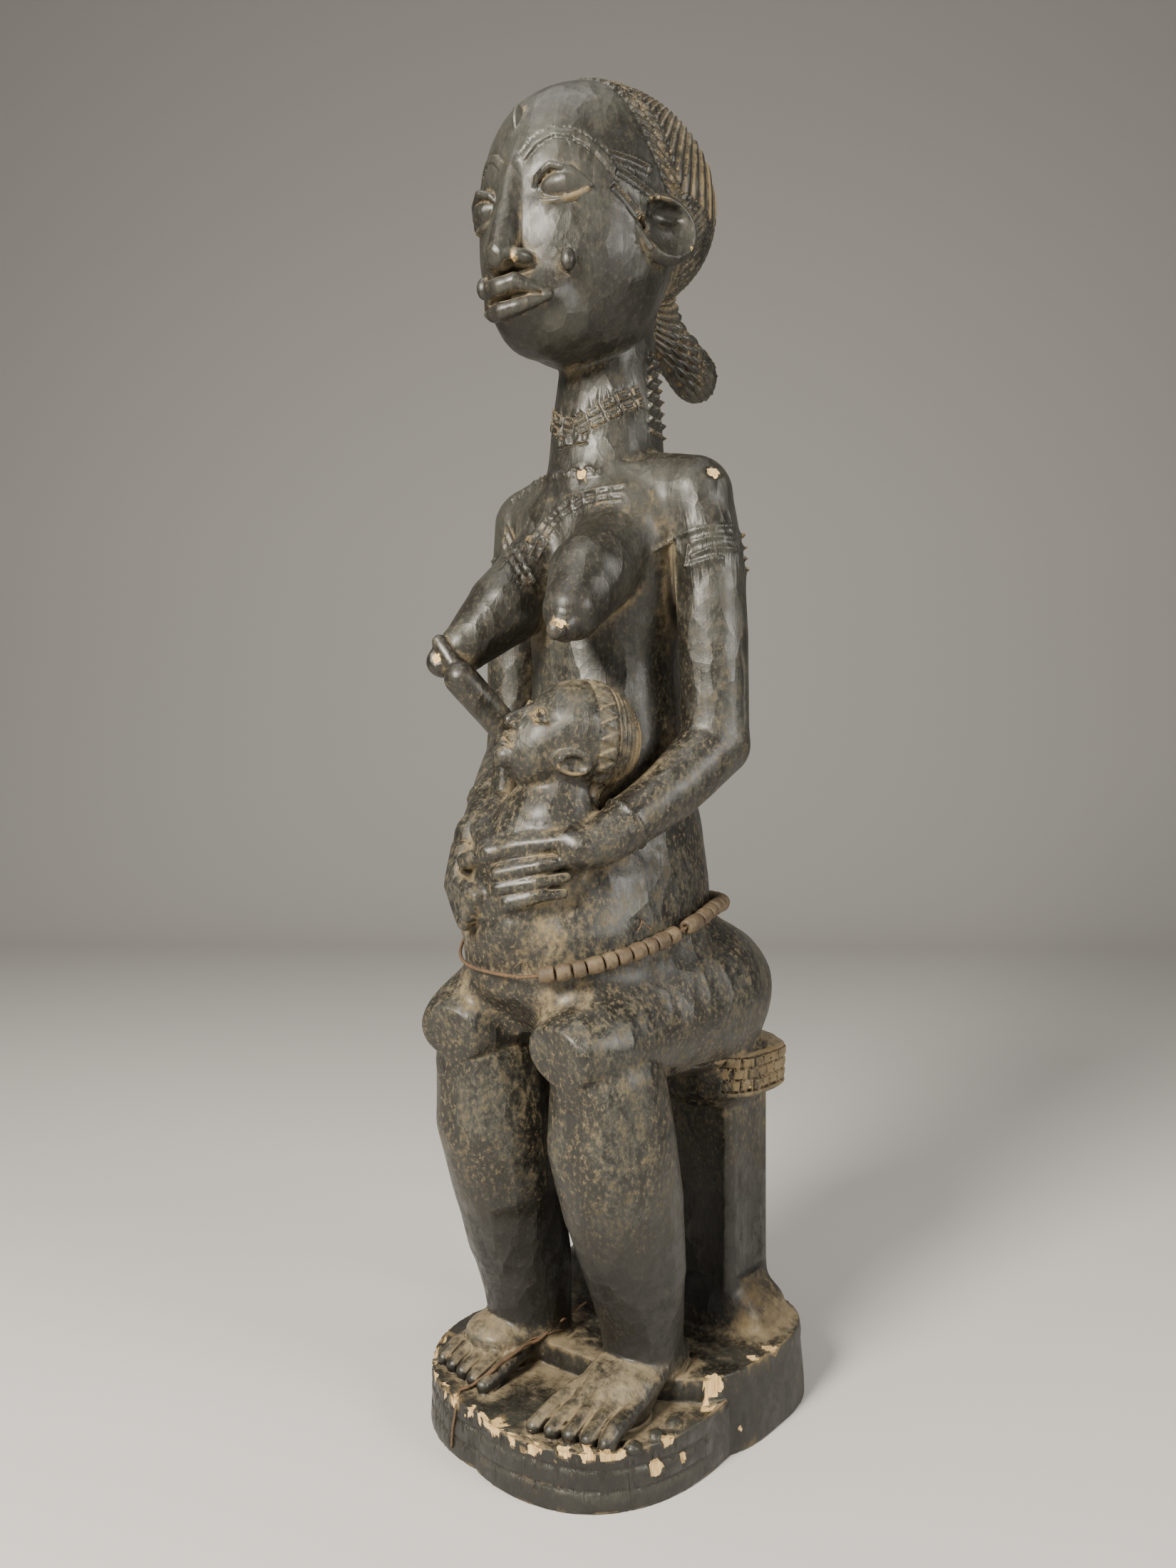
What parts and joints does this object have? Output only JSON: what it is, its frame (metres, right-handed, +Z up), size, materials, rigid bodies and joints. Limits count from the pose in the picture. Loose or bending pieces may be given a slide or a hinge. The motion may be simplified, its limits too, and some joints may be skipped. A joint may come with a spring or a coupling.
{
  "type": "carved wooden maternity figure",
  "caption": "Seated mother carved from one block of dark wood, nursing a child on her lap, on a notched stool and lobed plinth, with a loose string of beads round the waist.",
  "frame": {"origin": "on the flat underside of the plinth, under the middle of the seated figure", "axes": "+Z up the figure, -Y the way the mother faces, +X towards her left side"},
  "size_m": [0.1955, 0.2292, 0.7881],
  "materials": {
    "carved_wood": "dark patinated hardwood, satin where handled, dusty in the recesses",
    "bead": "dusty red-brown fired clay, matte",
    "cord": "twisted plant fibre, matte"
  },
  "bodies": {
    "root": {"figure": "carved_wood", "bead_01": "bead", "bead_02": "bead", "bead_03": "bead", "bead_04": "bead", "bead_05": "bead", "bead_06": "bead", "bead_07": "bead", "bead_08": "bead", "bead_09": "bead", "bead_10": "bead", "bead_11": "bead", "bead_12": "bead", "bead_13": "bead", "bead_14": "bead", "bead_15": "bead", "bead_16": "bead", "bead_17": "bead", "bead_18": "bead", "bead_19": "bead", "bead_20": "bead", "bead_21": "bead", "bead_22": "bead", "bead_23": "bead", "bead_24": "bead", "bead_25": "bead", "bead_26": "bead", "bead_27": "bead", "bead_28": "bead", "bead_29": "bead", "bead_30": "bead", "bead_31": "bead", "bead_32": "bead", "bead_33": "bead", "bead_34": "bead", "bead_35": "bead", "bead_36": "bead", "bead_37": "bead", "bead_38": "bead", "bead_39": "bead", "bead_40": "bead", "bead_41": "bead", "bead_42": "bead", "bead_43": "bead", "bead_44": "bead", "cord": "cord"}
  },
  "joints": []
}
